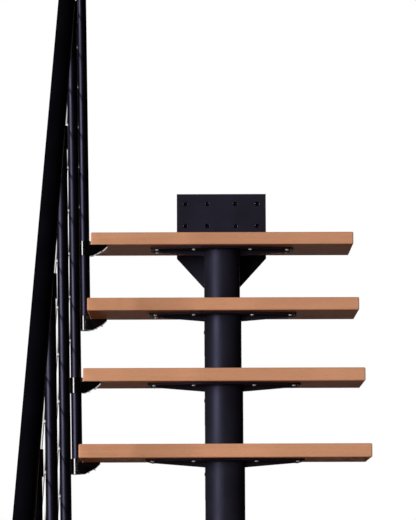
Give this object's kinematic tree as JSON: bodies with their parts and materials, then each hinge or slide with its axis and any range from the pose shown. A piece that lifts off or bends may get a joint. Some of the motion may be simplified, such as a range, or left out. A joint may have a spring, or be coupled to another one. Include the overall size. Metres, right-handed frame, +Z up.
{
  "type": "modular staircase",
  "caption": "Straight open-riser flight of wooden treads on a central spine of stacked black steel modules, with a top fixing plate and a cable railing on one side.",
  "frame": {"origin": "centre of the floor flange's underside, below the first column", "axes": "+X to the right of someone walking up, +Y horizontally up the flight, +Z up"},
  "size_m": [0.8086, 2.6784, 3.4732],
  "materials": {
    "spine_steel": "fine-textured black powder coat",
    "tread_beech": "satin lacquered beech",
    "post_steel": "satin black powder coat",
    "bracket_gloss": "glossy moulded black",
    "rail_black": "matt black coated tube",
    "cable_steel": "stranded bright steel"
  },
  "bodies": {
    "root": {"floor_flange": "spine_steel", "module_01": "spine_steel", "module_02": "spine_steel", "module_03": "spine_steel", "module_04": "spine_steel", "module_05": "spine_steel", "module_06": "spine_steel", "module_07": "spine_steel", "module_08": "spine_steel", "module_09": "spine_steel", "module_10": "spine_steel", "module_11": "spine_steel", "spacer_rings": "spine_steel", "top_plate": "spine_steel", "tread_01": "tread_beech", "tread_02": "tread_beech", "tread_03": "tread_beech", "tread_04": "tread_beech", "tread_05": "tread_beech", "tread_06": "tread_beech", "tread_07": "tread_beech", "tread_08": "tread_beech", "tread_09": "tread_beech", "tread_10": "tread_beech", "tread_11": "tread_beech", "post_1": "post_steel", "post_2": "post_steel", "post_3": "post_steel", "post_4": "post_steel", "post_5": "post_steel", "post_6": "post_steel", "brackets_1": "bracket_gloss", "brackets_2": "bracket_gloss", "brackets_3": "bracket_gloss", "brackets_4": "bracket_gloss", "brackets_5": "bracket_gloss", "brackets_6": "bracket_gloss", "post_foot": "bracket_gloss", "rail_saddles": "bracket_gloss", "handrail": "rail_black", "rail_caps": "rail_black", "cables": "cable_steel", "cable_clips": "cable_steel", "cable_ends": "cable_steel"}
  },
  "joints": []
}
